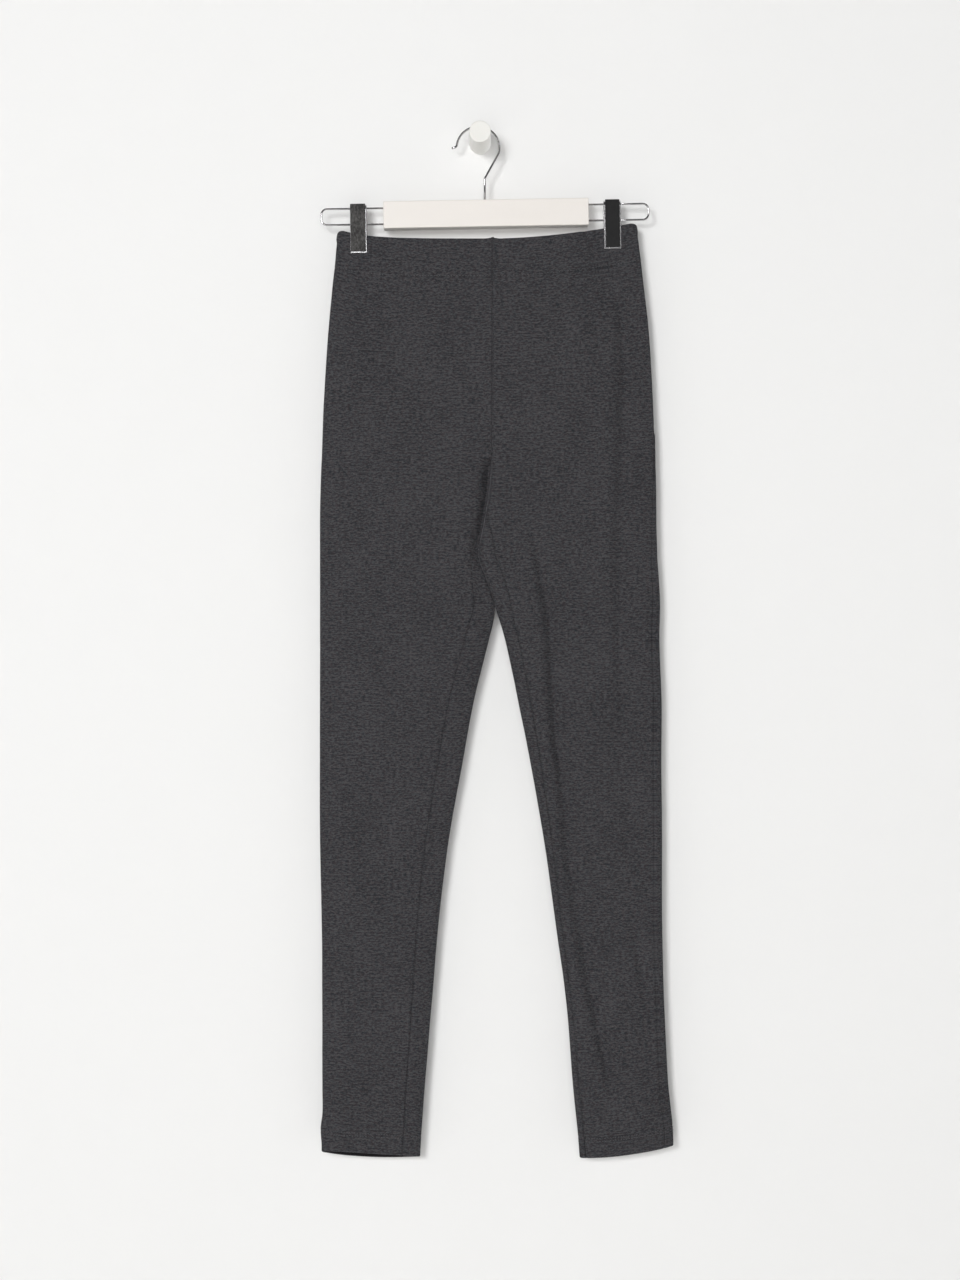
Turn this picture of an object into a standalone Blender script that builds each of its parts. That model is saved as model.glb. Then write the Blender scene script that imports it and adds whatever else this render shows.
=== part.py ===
"""Leggings hung flat from a clip hanger on a wall peg.

Metres, +Z up.  The wall is the plane y = 0 and the object hangs in front of it, towards -Y.
The origin is the centre of the peg's flat back face, on the wall.  Left and right are as seen
from the front, looking along +Y.
"""
import math
from collections import namedtuple

import bpy
import bmesh

MM = 0.001
GAP = 0.3 * MM                      # clearance between pieces that meet

# Peg: a turned round standing straight out of the wall.
PEG_RADIUS = 11.25 * MM
PEG_LENGTH = 65.0 * MM
PEG_EDGE = 0.8 * MM

# Hanger: everything hangs in one plane, a little off the wall.
HANG_Y = -24.0 * MM
HANGER_TILT = math.radians(0.9)     # the right end hangs a little higher
BAR_CENTRE = (6.3 * MM, HANG_Y, -77.5 * MM)
BAR_SIZE = (215.0 * MM, 19.0 * MM, 26.6 * MM)
BAR_EDGE = 1.2 * MM
HOOK_WIRE = 2.3 * MM
HOOK_CENTRE_X = -2.1 * MM
HOOK_CENTRE_Z = -9.6 * MM
HOOK_RADIUS = 22.5 * MM
HOOK_STEM_X = 5.0 * MM
HOOK_NECK_Z = -43.0 * MM
HOOK_BENDS = (4.0 * MM, 5.5 * MM)  # how gently the neck bends at its foot and at its top
HOOK_ARC = (math.radians(-9.4), math.radians(172.0))
HOOK_TIP = (-30.6 * MM, -10.6 * MM)
LOOP_WIRE = 2.0 * MM
LOOP_SPACING = 16.8 * MM
LOOP_CORNER = 6.0 * MM

# Clips: a sprung steel hairpin over both wires, with a black face on the front leg.
CLIP_TOP = 12.2 * MM                # above the bar's centre line
CLIP_BOTTOM = -39.8 * MM
CLIP_HALF_GAP = 4.2 * MM
CLIP_STEEL = 1.2 * MM
CLIP_FACE_SIZE = (13.6 * MM, 1.3 * MM, 44.0 * MM)
CLIP_FACE_RISE = 1.2 * MM           # of the face's centre above the middle of the hairpin

# reach is how far the wire loop goes from the bar's centre, clip is the clip's place on it
HangerEnd = namedtuple("HangerEnd", "name direction reach clip clip_width")
HANGER_ENDS = (
    HangerEnd("left", -1, 173.6 * MM, 134.0 * MM, 17.2 * MM),
    HangerEnd("right", 1, 171.2 * MM, 132.3 * MM, 18.6 * MM),
)

# Cloth: single jersey, doubled over elastic in the casing and doubled in the hems.
JERSEY = 1.2 * MM
CASING = 3.0 * MM
HEM = 2.4 * MM
CASING_TOP = -104.0
CASING_FOOT = -145.5
HEM_TOP = -1036.0
HEM_FOOT = -1057.5
OUTER_FOLD = 38.0                   # mm over which the side edges round away
INNER_FOLD = 26.0                   # mm, the same at the inner legs
PINCHED = 3.3                       # mm, half the casing's thickness inside a clip
PINCH_REACH = 30.0                  # mm, how far along the waist a clip gathers it in

# Outline and half thickness of the flat tube, in mm.  Above the crotch both inner edges are
# the centre line.  valley is 0 where the body is one tube and 1 where the legs are two.
Row = namedtuple("Row", "z left_outer left_inner right_inner right_outer half_depth valley")
OUTLINE = (
    Row(-90.0, -149.6, 11.8, 11.8, 163.4, 8.0, 0.0),
    Row(-131.0, -151.2, 11.6, 11.6, 167.6, 8.2, 0.0),
    Row(-169.0, -155.2, 11.6, 11.6, 172.2, 8.6, 0.0),
    Row(-211.0, -159.6, 11.4, 11.4, 177.4, 9.0, 0.0),
    Row(-274.0, -163.8, 10.6, 10.6, 181.7, 9.2, 0.0),
    Row(-334.0, -165.9, 6.3, 6.3, 183.8, 9.2, 0.0),
    Row(-352.0, -166.8, 4.4, 4.4, 184.4, 9.0, 0.16),
    Row(-372.0, -167.4, 2.4, 2.4, 184.8, 8.8, 0.5),
    Row(-392.0, -167.9, 0.4, 0.4, 185.2, 8.6, 0.84),
    Row(-410.0, -168.0, -1.6, -1.6, 185.4, 8.4, 1.0),
    Row(-433.0, -168.0, -2.2, -2.2, 186.0, 8.4, 1.0),
    Row(-462.0, -168.0, 6.6, 6.6, 187.8, 8.4, 1.0),
    Row(-491.0, -168.0, 15.8, 15.8, 189.0, 8.4, 1.0),
    Row(-526.0, -168.0, 9.5, 26.3, 188.4, 8.4, 1.0),
    Row(-589.0, -168.0, -6.3, 39.9, 190.6, 8.2, 1.0),
    Row(-652.0, -168.0, -17.9, 52.5, 190.4, 8.0, 1.0),
    Row(-736.0, -168.0, -32.6, 67.2, 191.1, 8.0, 1.0),
    Row(-820.0, -166.2, -43.1, 78.8, 191.3, 7.8, 1.0),
    Row(-904.0, -165.7, -50.4, 90.3, 193.4, 7.6, 1.0),
    Row(-988.0, -165.3, -58.2, 97.9, 197.2, 7.4, 1.0),
    Row(-1044.0, -166.6, -62.0, 103.8, 201.4, 7.4, 1.0),
    Row(-1070.0, -166.9, -63.2, 105.6, 202.0, 7.4, 1.0),
)

# Where the seams lie on the front, in mm in from the edge beside them.  The backs are cut
# wider than the fronts, so their edges come round to the front.
Seam = namedtuple("Seam", "z left_inseam right_inseam left_side right_side")
SEAMS = (
    Seam(-300.0, 0.0, 0.0, 0.0, 0.0),
    Seam(-350.0, 0.0, 0.0, 0.0, 1.4),
    Seam(-410.0, 0.0, 0.0, 0.0, 4.4),
    Seam(-440.0, 6.0, 13.5, 0.0, 5.6),
    Seam(-465.0, 13.0, 18.2, 0.0, 6.6),
    Seam(-512.0, 26.0, 14.2, 0.0, 7.8),
    Seam(-581.0, 26.0, 13.1, 0.0, 8.0),
    Seam(-683.0, 25.0, 9.5, 0.0, 8.2),
    Seam(-782.0, 23.0, 6.9, 0.0, 8.6),
    Seam(-881.0, 21.0, 5.6, 0.0, 8.2),
    Seam(-963.0, 19.2, 5.8, 0.0, 8.4),
    Seam(-1070.0, 18.2, 5.8, 0.0, 9.6),
)

# The largest soft folds: a trough's middle in mm at a few heights, its depth and half width.
FoldPoint = namedtuple("FoldPoint", "z x depth half_width")
FRONT_FOLDS = {
    "left": (),
    "right": (
        (
            FoldPoint(-400.0, 53.0, 0.0, 9.0),
            FoldPoint(-470.0, 63.0, 1.4, 9.0),
            FoldPoint(-571.0, 74.6, 1.5, 9.0),
            FoldPoint(-683.0, 82.4, 1.3, 9.0),
            FoldPoint(-850.0, 107.1, 1.2, 9.0),
            FoldPoint(-1000.0, 136.0, 0.0, 9.0),
        ),
        (
            FoldPoint(-142.0, 150.0, 0.3, 13.0),
            FoldPoint(-230.0, 151.0, 1.4, 14.0),
            FoldPoint(-400.0, 152.0, 1.6, 16.0),
            FoldPoint(-560.0, 151.0, 0.0, 14.0),
        ),
    ),
}

# Each panel is built in five lengths, cut across where no seam is, so that each is a simple
# shape.  levels are the heights in mm at which its sections are made, from its top to its foot.
Length = namedtuple("Length", "name levels")
LENGTHS = (
    Length("waist", (CASING_FOOT, -160.0, -185.0, -212.0, -245.0, -280.0)),
    Length("seat", (-280.0, -310.0, -334.0, -352.0, -372.0, -392.0, -410.0)),
    Length("thigh", (-410.0, -418.0, -427.0, -440.0, -462.0, -491.0, -526.0, -556.0, -589.0)),
    Length("knee", (-589.0, -640.0, -694.0, -736.0, -778.0, -820.0)),
    Length("shin", (-820.0, -862.0, -904.0, -946.0, -988.0, HEM_TOP)),
)
PANEL_COLUMNS = 14
CASING_COLUMNS = 16

# rise is how much higher the waist edge is at the side than at the centre front, and drop is
# how much lower the hem is at the inner leg; both in mm.
Half = namedtuple("Half", "name direction rise rise_power hem_drop back_drop clip_x")
HALVES = (
    Half("left", 1, 7.8, 4.8, 10.5, 3.0, -127.7),
    Half("right", -1, 17.3, 1.8, 12.5, 0.6, 138.6),
)


def blend(start, end, value):
    """Smooth step from 0 at start to 1 at end."""
    part = min(max((value - start) / (end - start), 0.0), 1.0)
    return part * part * (3.0 - 2.0 * part)


def read_curve(rows, column, level):
    """A smooth curve through one column of a table whose rows run from high z to low z."""
    last = len(rows) - 1
    if level >= rows[0].z:
        return getattr(rows[0], column)
    if level <= rows[last].z:
        return getattr(rows[last], column)
    low = next(i for i in range(1, last + 1) if rows[i].z <= level)
    high = low - 1
    heights = [row.z for row in rows]
    values = [getattr(row, column) for row in rows]

    def slope(i):
        before, after = max(i - 1, 0), min(i + 1, last)
        return (values[after] - values[before]) / (heights[after] - heights[before])

    span = heights[low] - heights[high]
    part = (level - heights[high]) / span
    square, cube = part * part, part ** 3
    return ((2 * cube - 3 * square + 1) * values[high]
            + (cube - 2 * square + part) * span * slope(high)
            + (3 * square - 2 * cube) * values[low]
            + (cube - square) * span * slope(low))


def edge_rise(distance, width):
    """Rounding of a folded edge: 0 on the fold, 1 a width away from it."""
    rest = 1.0 - min(max(distance, 0.0) / width, 1.0)
    return math.sqrt(max(1.0 - rest * rest, 0.0))


def fold_depth(half, x, level):
    """How far the front sinks into its soft folds at a point, in mm."""
    total = 0.0
    for fold in FRONT_FOLDS[half.name]:
        if fold[-1].z < level < fold[0].z:
            away = (x - read_curve(fold, "x", level)) / read_curve(fold, "half_width", level)
            total += read_curve(fold, "depth", level) * math.exp(-away * away)
    return total


def cloth_point(half, turn, level, inset, centre_gap=GAP):
    """A point of the tube, in metres.

    turn goes 0 to 1 across the front from the outer edge to the inner one, and 1 to 2 back
    across the back.  inset is how far inside the outer surface the point lies.
    """
    inset_mm = inset / MM
    valley = min(max(read_curve(OUTLINE, "valley", level), 0.0), 1.0)
    outer = read_curve(OUTLINE, half.name + "_outer", level) + half.direction * inset_mm
    inner = read_curve(OUTLINE, half.name + "_inner", level)
    inner -= half.direction * (0.5 * centre_gap / MM + inset_mm * valley)
    across = 0.5 - 0.5 * math.cos(math.pi * turn)
    x = outer + (inner - outer) * across
    front = math.sin(math.pi * turn) > 0.0

    full = read_curve(OUTLINE, "half_depth", level)
    clip_away = (x - half.clip_x) / PINCH_REACH
    pinch = math.exp(-clip_away ** 2) * (1.0 - blend(-150.0, -230.0, level))
    full += (PINCHED - full) * pinch
    depth = (full - inset_mm) * edge_rise(abs(x - outer), OUTER_FOLD)
    depth *= 1.0 - valley * (1.0 - edge_rise(abs(inner - x), INNER_FOLD))
    sink = fold_depth(half, x, level) if front else 0.0
    y = sink - depth if front else depth

    rise = half.rise * (1.0 - blend(-142.0, -290.0, level)) * (1.0 - across) ** half.rise_power
    low = blend(-850.0, -1057.0, level)
    back = 0.5 + 0.5 * y / full
    z = level + rise - low * (half.hem_drop * across + half.back_drop * back)
    return (x * MM, HANG_Y + y * MM, z * MM)


def seam_turns(half, level):
    """The turns at which the side seam and the inseam (or centre seam) cross a level."""
    width = abs(read_curve(OUTLINE, half.name + "_inner", level)
                - read_curve(OUTLINE, half.name + "_outer", level))
    side = max(read_curve(SEAMS, half.name + "_side", level), 0.0)
    inseam = max(read_curve(SEAMS, half.name + "_inseam", level), 0.0)
    return (math.acos(1.0 - 2.0 * side / width) / math.pi,
            math.acos(2.0 * inseam / width - 1.0) / math.pi)


def turn_step(half, turn, level, length):
    """The change of turn that moves a point by a length along the section."""
    small = 0.004
    near = cloth_point(half, turn - small, level, 0.0)
    far = cloth_point(half, turn + small, level, 0.0)
    pace = math.dist(near, far) / (2.0 * small)
    return length / max(pace, 20.0 * MM)


def panel_turns(half, is_front, level, columns):
    """The turns of one panel's columns at a level, kept half a gap clear of its seams."""
    side, inseam = seam_turns(half, level)
    valley = min(max(read_curve(OUTLINE, "valley", level), 0.0), 1.0)
    side_gap = turn_step(half, side + 0.02, level, 0.5 * GAP)
    inner_gap = valley * turn_step(half, inseam - 0.02, level, 0.5 * GAP)
    hair = 1e-6
    if is_front:
        start, end = side + side_gap, inseam - max(inner_gap, hair)
    else:
        start, end = 2.0 + side - side_gap, inseam + max(inner_gap, hair)
    return [start + (end - start) * i / columns for i in range(columns + 1)]


def clear(levels, half_gap):
    """The same levels, with the first and last drawn in to leave half a gap at each end."""
    return (levels[0] - half_gap,) + tuple(levels[1:-1]) + (levels[-1] + half_gap,)


def cloth_wall(name, half, is_front, levels, thickness, columns, material):
    """A closed wall of cloth between two grids of points, one inside the other."""
    mesh = bmesh.new()
    skins = []
    for inset in (0.0, thickness):
        grid = []
        for level in levels:
            turns = panel_turns(half, is_front, level, columns)
            grid.append([mesh.verts.new(cloth_point(half, turn, level, inset)) for turn in turns])
        skins.append(grid)
    outside, inside = skins
    rows = len(levels)
    for i in range(rows - 1):
        for j in range(columns):
            mesh.faces.new((outside[i][j], outside[i + 1][j],
                            outside[i + 1][j + 1], outside[i][j + 1]))
            mesh.faces.new((inside[i][j], inside[i][j + 1],
                            inside[i + 1][j + 1], inside[i + 1][j]))
    rim = [(0, j) for j in range(columns)]
    rim += [(i, columns) for i in range(rows - 1)]
    rim += [(rows - 1, j) for j in range(columns, 0, -1)]
    rim += [(i, 0) for i in range(rows - 1, 0, -1)]
    for (i, j), (k, m) in zip(rim, rim[1:] + rim[:1]):
        mesh.faces.new((outside[i][j], outside[k][m], inside[k][m], inside[i][j]))
    bmesh.ops.recalc_face_normals(mesh, faces=mesh.faces)
    return add_mesh(name, mesh, material)


def add_mesh(name, mesh, material):
    data = bpy.data.meshes.new(name)
    mesh.to_mesh(data)
    mesh.free()
    obj = bpy.data.objects.new(name, data)
    return finish(obj, material)


def finish(obj, material):
    """Give an object its material and put it in the object's collection."""
    obj.data.materials.clear()
    obj.data.materials.append(material)
    for owner in list(obj.users_collection):
        owner.objects.unlink(obj)
    COLLECTION.objects.link(obj)
    return obj


def make_material(name, colour, roughness, metallic=0.0):
    material = bpy.data.materials.new(name)
    material.use_nodes = True
    shader = material.node_tree.nodes["Principled BSDF"]
    shader.inputs["Base Color"].default_value = (*colour, 1.0)
    shader.inputs["Roughness"].default_value = roughness
    shader.inputs["Metallic"].default_value = metallic
    material.diffuse_color = (*colour, 1.0)
    return material


def add_wire(name, points, diameter, material):
    """A round wire with closed ends along a list of points."""
    curve = bpy.data.curves.new(name, "CURVE")
    curve.dimensions = "3D"
    curve.bevel_depth = 0.5 * diameter
    curve.bevel_resolution = 2
    curve.use_fill_caps = True
    spline = curve.splines.new("POLY")
    spline.points.add(len(points) - 1)
    for point, place in zip(spline.points, points):
        point.co = (*place, 1.0)
    return finish(bpy.data.objects.new(name, curve), material)


def add_box(name, centre, size, edge, tilt, material):
    bpy.ops.mesh.primitive_cube_add(size=1.0)
    obj = bpy.context.object
    obj.name = name
    for vertex in obj.data.vertices:
        vertex.co = [a * b for a, b in zip(vertex.co, size)]
    obj.location = centre
    obj.rotation_euler = (0.0, -tilt, 0.0)
    bevel = obj.modifiers.new("rounded edges", "BEVEL")
    bevel.width = edge
    bevel.segments = 2
    return finish(obj, material)


def on_hanger(along, out, up):
    """World place of a point given along, out from and above the bar's centre line."""
    x = along * math.cos(HANGER_TILT) - up * math.sin(HANGER_TILT)
    z = along * math.sin(HANGER_TILT) + up * math.cos(HANGER_TILT)
    return (BAR_CENTRE[0] + x, BAR_CENTRE[1] + out, BAR_CENTRE[2] + z)


def make_peg(material):
    bpy.ops.mesh.primitive_cylinder_add(vertices=48, radius=PEG_RADIUS, depth=PEG_LENGTH,
                                        location=(0.0, -0.5 * PEG_LENGTH, 0.0),
                                        rotation=(0.5 * math.pi, 0.0, 0.0))
    peg = bpy.context.object
    peg.name = "peg"
    bevel = peg.modifiers.new("softened edges", "BEVEL")
    bevel.width = PEG_EDGE
    bevel.segments = 2
    bevel.limit_method = "ANGLE"
    peg.data.shade_smooth()
    peg.data.set_sharp_from_angle(angle=math.radians(40.0))
    finish(peg, material)


def make_hook(material):
    """Straight stem, a neck that swings out to the right, and a round bend over the peg."""
    stem_x = HOOK_STEM_X
    bar_top = on_hanger(stem_x - BAR_CENTRE[0], 0.0, 0.5 * BAR_SIZE[2])[2]
    route = [(stem_x, bar_top + GAP), (stem_x, 0.5 * (bar_top + HOOK_NECK_Z))]
    start, end = HOOK_ARC
    arc_x = HOOK_CENTRE_X + HOOK_RADIUS * math.cos(start)
    arc_z = HOOK_CENTRE_Z + HOOK_RADIUS * math.sin(start)
    foot_bend, top_bend = HOOK_BENDS
    corners = (
        (stem_x, HOOK_NECK_Z),
        (stem_x, HOOK_NECK_Z + foot_bend),
        (arc_x + top_bend * math.sin(start), arc_z - top_bend * math.cos(start)),
        (arc_x, arc_z),
    )
    for i in range(9):
        t = i / 9.0
        weights = ((1 - t) ** 3, 3 * t * (1 - t) ** 2, 3 * t * t * (1 - t), t ** 3)
        route.append(tuple(sum(w * c[k] for w, c in zip(weights, corners)) for k in (0, 1)))
    for i in range(25):
        angle = start + (end - start) * i / 24.0
        route.append((HOOK_CENTRE_X + HOOK_RADIUS * math.cos(angle),
                      HOOK_CENTRE_Z + HOOK_RADIUS * math.sin(angle)))
    last_x, last_z = route[-1]
    route.append((last_x - 1.6 * MM, last_z - 2.4 * MM))
    route.append(HOOK_TIP)
    add_wire("hook", [(x, HANG_Y, z) for x, z in route], HOOK_WIRE, material)


def make_loop(end, material):
    """One end of the wire loop: out of the bar, round, and back into it."""
    near = 0.5 * BAR_SIZE[0] + GAP
    far = end.reach - 0.5 * LOOP_WIRE
    half = 0.5 * LOOP_SPACING
    route = [(near, half), (0.5 * (near + far), half)]
    for corner_up, first in ((1, 90.0), (-1, 0.0)):
        for i in range(6):
            angle = math.radians(first - 90.0 * i / 5.0)
            route.append((far - LOOP_CORNER + LOOP_CORNER * math.cos(angle),
                          corner_up * (half - LOOP_CORNER) + LOOP_CORNER * math.sin(angle)))
    route += [(0.5 * (near + far), -half), (near, -half)]
    points = [on_hanger(end.direction * along, 0.0, up) for along, up in route]
    add_wire("wire_loop_" + end.name, points, LOOP_WIRE, material)


def make_clip(end, steel, face_material):
    """A hairpin of spring steel astride both wires, and the black face on its front."""
    height = CLIP_TOP - CLIP_BOTTOM
    inside = CLIP_HALF_GAP
    outside = inside + CLIP_STEEL
    top_centre = CLIP_TOP - outside
    outline = [(-outside, CLIP_BOTTOM)]
    outline += [(outside * math.cos(math.radians(a)), top_centre + outside * math.sin(math.radians(a)))
                for a in range(180, -1, -20)]
    outline += [(outside, CLIP_BOTTOM), (inside, CLIP_BOTTOM)]
    outline += [(inside * math.cos(math.radians(a)), top_centre + inside * math.sin(math.radians(a)))
                for a in range(0, 181, 20)]
    outline.append((-inside, CLIP_BOTTOM))
    curve = bpy.data.curves.new("clip_" + end.name, "CURVE")
    curve.dimensions = "2D"
    curve.fill_mode = "BOTH"
    curve.extrude = 0.5 * end.clip_width
    spline = curve.splines.new("POLY")
    spline.points.add(len(outline) - 1)
    spline.use_cyclic_u = True
    for point, place in zip(spline.points, outline):
        point.co = (*place, 0.0, 1.0)
    clip = bpy.data.objects.new("clip_" + end.name, curve)
    along = end.direction * end.clip
    clip.location = on_hanger(along, 0.0, 0.0)
    clip.rotation_euler = (0.5 * math.pi - HANGER_TILT, 0.0, 0.5 * math.pi)
    finish(clip, steel)

    face_y = -outside - GAP - 0.5 * CLIP_FACE_SIZE[1]
    centre = on_hanger(along, face_y, CLIP_TOP - 0.5 * height + CLIP_FACE_RISE)
    add_box("clip_face_" + end.name, centre, CLIP_FACE_SIZE, 0.4 * MM, HANGER_TILT, face_material)


def make_leggings(jersey):
    """Two fronts and two backs, each with its turned casing above and its turned hem below."""
    casing_levels = (CASING_TOP, 0.5 * (CASING_TOP + CASING_FOOT), CASING_FOOT)
    hem_levels = (HEM_TOP, HEM_FOOT)
    half_gap = 0.5 * GAP / MM
    for half in HALVES:
        for face, is_front in (("front", True), ("back", False)):
            name = face + "_" + half.name
            cloth_wall("casing_" + name, half, is_front, clear(casing_levels, half_gap), CASING,
                       CASING_COLUMNS, jersey)
            for length in LENGTHS:
                cloth_wall(name + "_" + length.name, half, is_front,
                           clear(length.levels, half_gap), JERSEY, PANEL_COLUMNS, jersey)
            cloth_wall("hem_" + name, half, is_front, clear(hem_levels, half_gap), HEM,
                       PANEL_COLUMNS, jersey)


for old in list(bpy.data.objects):
    bpy.data.objects.remove(old, do_unlink=True)

COLLECTION = bpy.data.collections.new("leggings_on_hanger")
bpy.context.scene.collection.children.link(COLLECTION)

JERSEY_FINISH = make_material("grey marl jersey", (0.053, 0.051, 0.055), 0.9)
WOOD_FINISH = make_material("painted wood", (0.84, 0.81, 0.77), 0.45)
PEG_FINISH = make_material("painted peg", (0.86, 0.85, 0.82), 0.5)
STEEL_FINISH = make_material("bright steel", (0.74, 0.74, 0.75), 0.15, 1.0)
FACE_FINISH = make_material("black plastic", (0.03, 0.03, 0.032), 0.4)

make_peg(PEG_FINISH)
make_hook(STEEL_FINISH)
add_box("bar", BAR_CENTRE, BAR_SIZE, BAR_EDGE, HANGER_TILT, WOOD_FINISH)
for hanger_end in HANGER_ENDS:
    make_loop(hanger_end, STEEL_FINISH)
    make_clip(hanger_end, STEEL_FINISH, FACE_FINISH)
make_leggings(JERSEY_FINISH)
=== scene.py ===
"""Grey marl leggings hung flat from a clip hanger on a wall peg.

The pieces are made in the order in which they are put together: the room, the peg, the hanger
that hangs on it, and the leggings that its clips hold.  Lengths inside a section are in mm
unless it says otherwise; left and right are as seen from the front, and the front faces -Y.
"""
import math
from collections import namedtuple

import bmesh
import bpy
from mathutils import Matrix, Vector, noise


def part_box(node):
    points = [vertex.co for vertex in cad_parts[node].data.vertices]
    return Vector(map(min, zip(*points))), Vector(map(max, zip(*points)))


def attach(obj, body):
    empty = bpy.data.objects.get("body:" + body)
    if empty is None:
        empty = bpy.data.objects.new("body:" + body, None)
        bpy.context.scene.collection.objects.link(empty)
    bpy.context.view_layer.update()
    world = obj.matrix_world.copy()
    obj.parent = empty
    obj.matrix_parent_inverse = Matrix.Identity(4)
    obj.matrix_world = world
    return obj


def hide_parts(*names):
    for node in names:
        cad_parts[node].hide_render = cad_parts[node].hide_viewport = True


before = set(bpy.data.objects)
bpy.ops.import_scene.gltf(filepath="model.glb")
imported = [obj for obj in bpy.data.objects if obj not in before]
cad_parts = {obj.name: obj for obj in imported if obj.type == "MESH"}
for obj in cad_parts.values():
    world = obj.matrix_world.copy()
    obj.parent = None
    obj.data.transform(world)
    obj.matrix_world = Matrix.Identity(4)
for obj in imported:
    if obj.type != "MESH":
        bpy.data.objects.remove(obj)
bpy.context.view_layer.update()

# ---- Camera -------------------------------------------------------------------------------
# Level with the thighs and square on to the wall, far enough back that the hanger and the
# hems are seen almost flat.  The picture is 960 x 1280, so the lens covers its long side.
MM = 0.001
CLOTH_Y = 0.5 * (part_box("wire_loop_left")[0].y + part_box("wire_loop_left")[1].y) / MM
CAMERA_HEIGHT = -525.7
CAMERA_AWAY = 2600.0
VIEW_HEIGHT = 1344.0                # of the cloth's plane, top to bottom of the picture
SENSOR = 36.0

camera_data = bpy.data.cameras.new("camera")
camera_data.sensor_width = SENSOR
camera_data.lens = SENSOR * CAMERA_AWAY / VIEW_HEIGHT
camera_data.clip_end = 100.0
camera = bpy.data.objects.new("camera", camera_data)
camera.location = Vector((0.0, CLOTH_Y - CAMERA_AWAY, CAMERA_HEIGHT)) * MM
camera.rotation_euler = (math.radians(90.0), 0.0, 0.0)
bpy.context.scene.collection.objects.link(camera)
bpy.context.scene.camera = camera
# the plain view, in which a paint keeps its colour
bpy.context.scene.view_settings.view_transform = "Standard"


# ---- Room ---------------------------------------------------------------------------------
# A plain white painted wall, a plain pale floor well below the hems, and soft studio light
# from the upper left.  The wall is seen from its front only, so that it hides nothing from
# behind, and lets the soft light round it through.
class Shade:
    """A value in a material.  Sums and products of it add the Math nodes that work it out."""

    def __init__(self, finish, socket):
        self.finish = finish
        self.socket = socket

    def math(self, operation, first, second):
        return self.finish.add("ShaderNodeMath", {"operation": operation}, {0: first, 1: second})

    def __add__(self, other):
        return self.math("ADD", self, other)

    def __sub__(self, other):
        return self.math("SUBTRACT", self, other)

    def __mul__(self, other):
        return self.math("MULTIPLY", self, other)

    def __truediv__(self, other):
        return self.math("DIVIDE", self, other)

    def __radd__(self, other):
        return self.math("ADD", other, self)

    def __rsub__(self, other):
        return self.math("SUBTRACT", other, self)

    def __rmul__(self, other):
        return self.math("MULTIPLY", other, self)


class Finish:
    """A Principled material and the nodes that vary it."""

    def __init__(self, name, colour, roughness, on="Object", **constants):
        self.coordinates = on
        self.material = bpy.data.materials.new(name)
        self.material.use_nodes = True
        self.tree = self.material.node_tree
        self.shader = self.tree.nodes["Principled BSDF"]
        self.set(self.shader, "Base Color", (*colour, 1.0))
        self.set(self.shader, "Roughness", roughness)
        for socket, value in constants.items():
            self.set(self.shader, socket.replace("_", " "), value)

    def set(self, node, socket, value):
        if isinstance(value, Shade):
            self.tree.links.new(value.socket, node.inputs[socket])
        else:
            node.inputs[socket].default_value = value

    def add(self, kind, settings, sockets, output=0):
        """Add a node of a kind, with its settings first and then its sockets."""
        node = self.tree.nodes.new(kind)
        for setting, value in settings.items():
            setattr(node, setting, value)
        for socket, value in sockets.items():
            self.set(node, socket, value)
        return Shade(self, node.outputs[output])

    def feed(self, **sockets):
        for socket, value in sockets.items():
            self.set(self.shader, socket.replace("_", " "), value)

    def noise(self, repeats, detail=2.0, roughness=0.5):
        """Noise with about so many repeats per metre along each axis."""
        start = self.add("ShaderNodeTexCoord", {}, {}, self.coordinates)
        place = self.add("ShaderNodeMapping", {}, {"Vector": start, "Scale": repeats})
        return self.add("ShaderNodeTexNoise", {},
                        {"Vector": place, "Scale": 1.0, "Detail": detail,
                         "Roughness": roughness}, "Fac")

    def window(self, value, low, high):
        """0 below low, 1 above high, and a straight climb between them."""
        return self.add("ShaderNodeMapRange", {},
                        {"Value": value, "From Min": low, "From Max": high})

    def blend(self, amount, first, second):
        """A colour between two, which may be colours or links."""
        mix = self.tree.nodes.new("ShaderNodeMix")
        mix.data_type = "RGBA"
        self.set(mix, 0, amount)
        for socket, colour in ((6, first), (7, second)):
            self.set(mix, socket, colour if isinstance(colour, Shade) else (*colour, 1.0))
        return Shade(self, mix.outputs[2])

    def relief(self, height, strength, distance):
        """Height in units of distance, as a bump on the normal."""
        self.feed(Normal=self.add("ShaderNodeBump", {}, {"Height": height, "Strength": strength,
                                                         "Distance": distance}, "Normal"))


def link_mesh(name, mesh, finish, smooth=True):
    """Make an object of a bmesh, in place, with its finish."""
    data = bpy.data.meshes.new(name)
    mesh.to_mesh(data)
    mesh.free()
    for face in data.polygons:
        face.use_smooth = smooth
    data.materials.append(finish.material)
    obj = bpy.data.objects.new(name, data)
    bpy.context.scene.collection.objects.link(obj)
    return obj


def flatten_large(obj, share):
    """Faces above a share of the largest one's area are flat, so that only edges look rounded."""
    largest = max(face.area for face in obj.data.polygons)
    for face in obj.data.polygons:
        face.use_smooth = face.area < share * largest


WALL_PAINT = (0.86, 0.86, 0.855)
FLOOR_PAINT = (0.80, 0.79, 0.77)
ROOM_HALF = 3.0                     # metres
FLOOR_Z = -1.75                     # metres
WALL_GAP = 0.0004                   # metres behind the peg's flat back
LIT_POINT = (0.0, 0.0, -0.55)       # metres, in the middle of the garment
UPRIGHT = Matrix.Rotation(math.radians(90.0), 3, "X")

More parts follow.
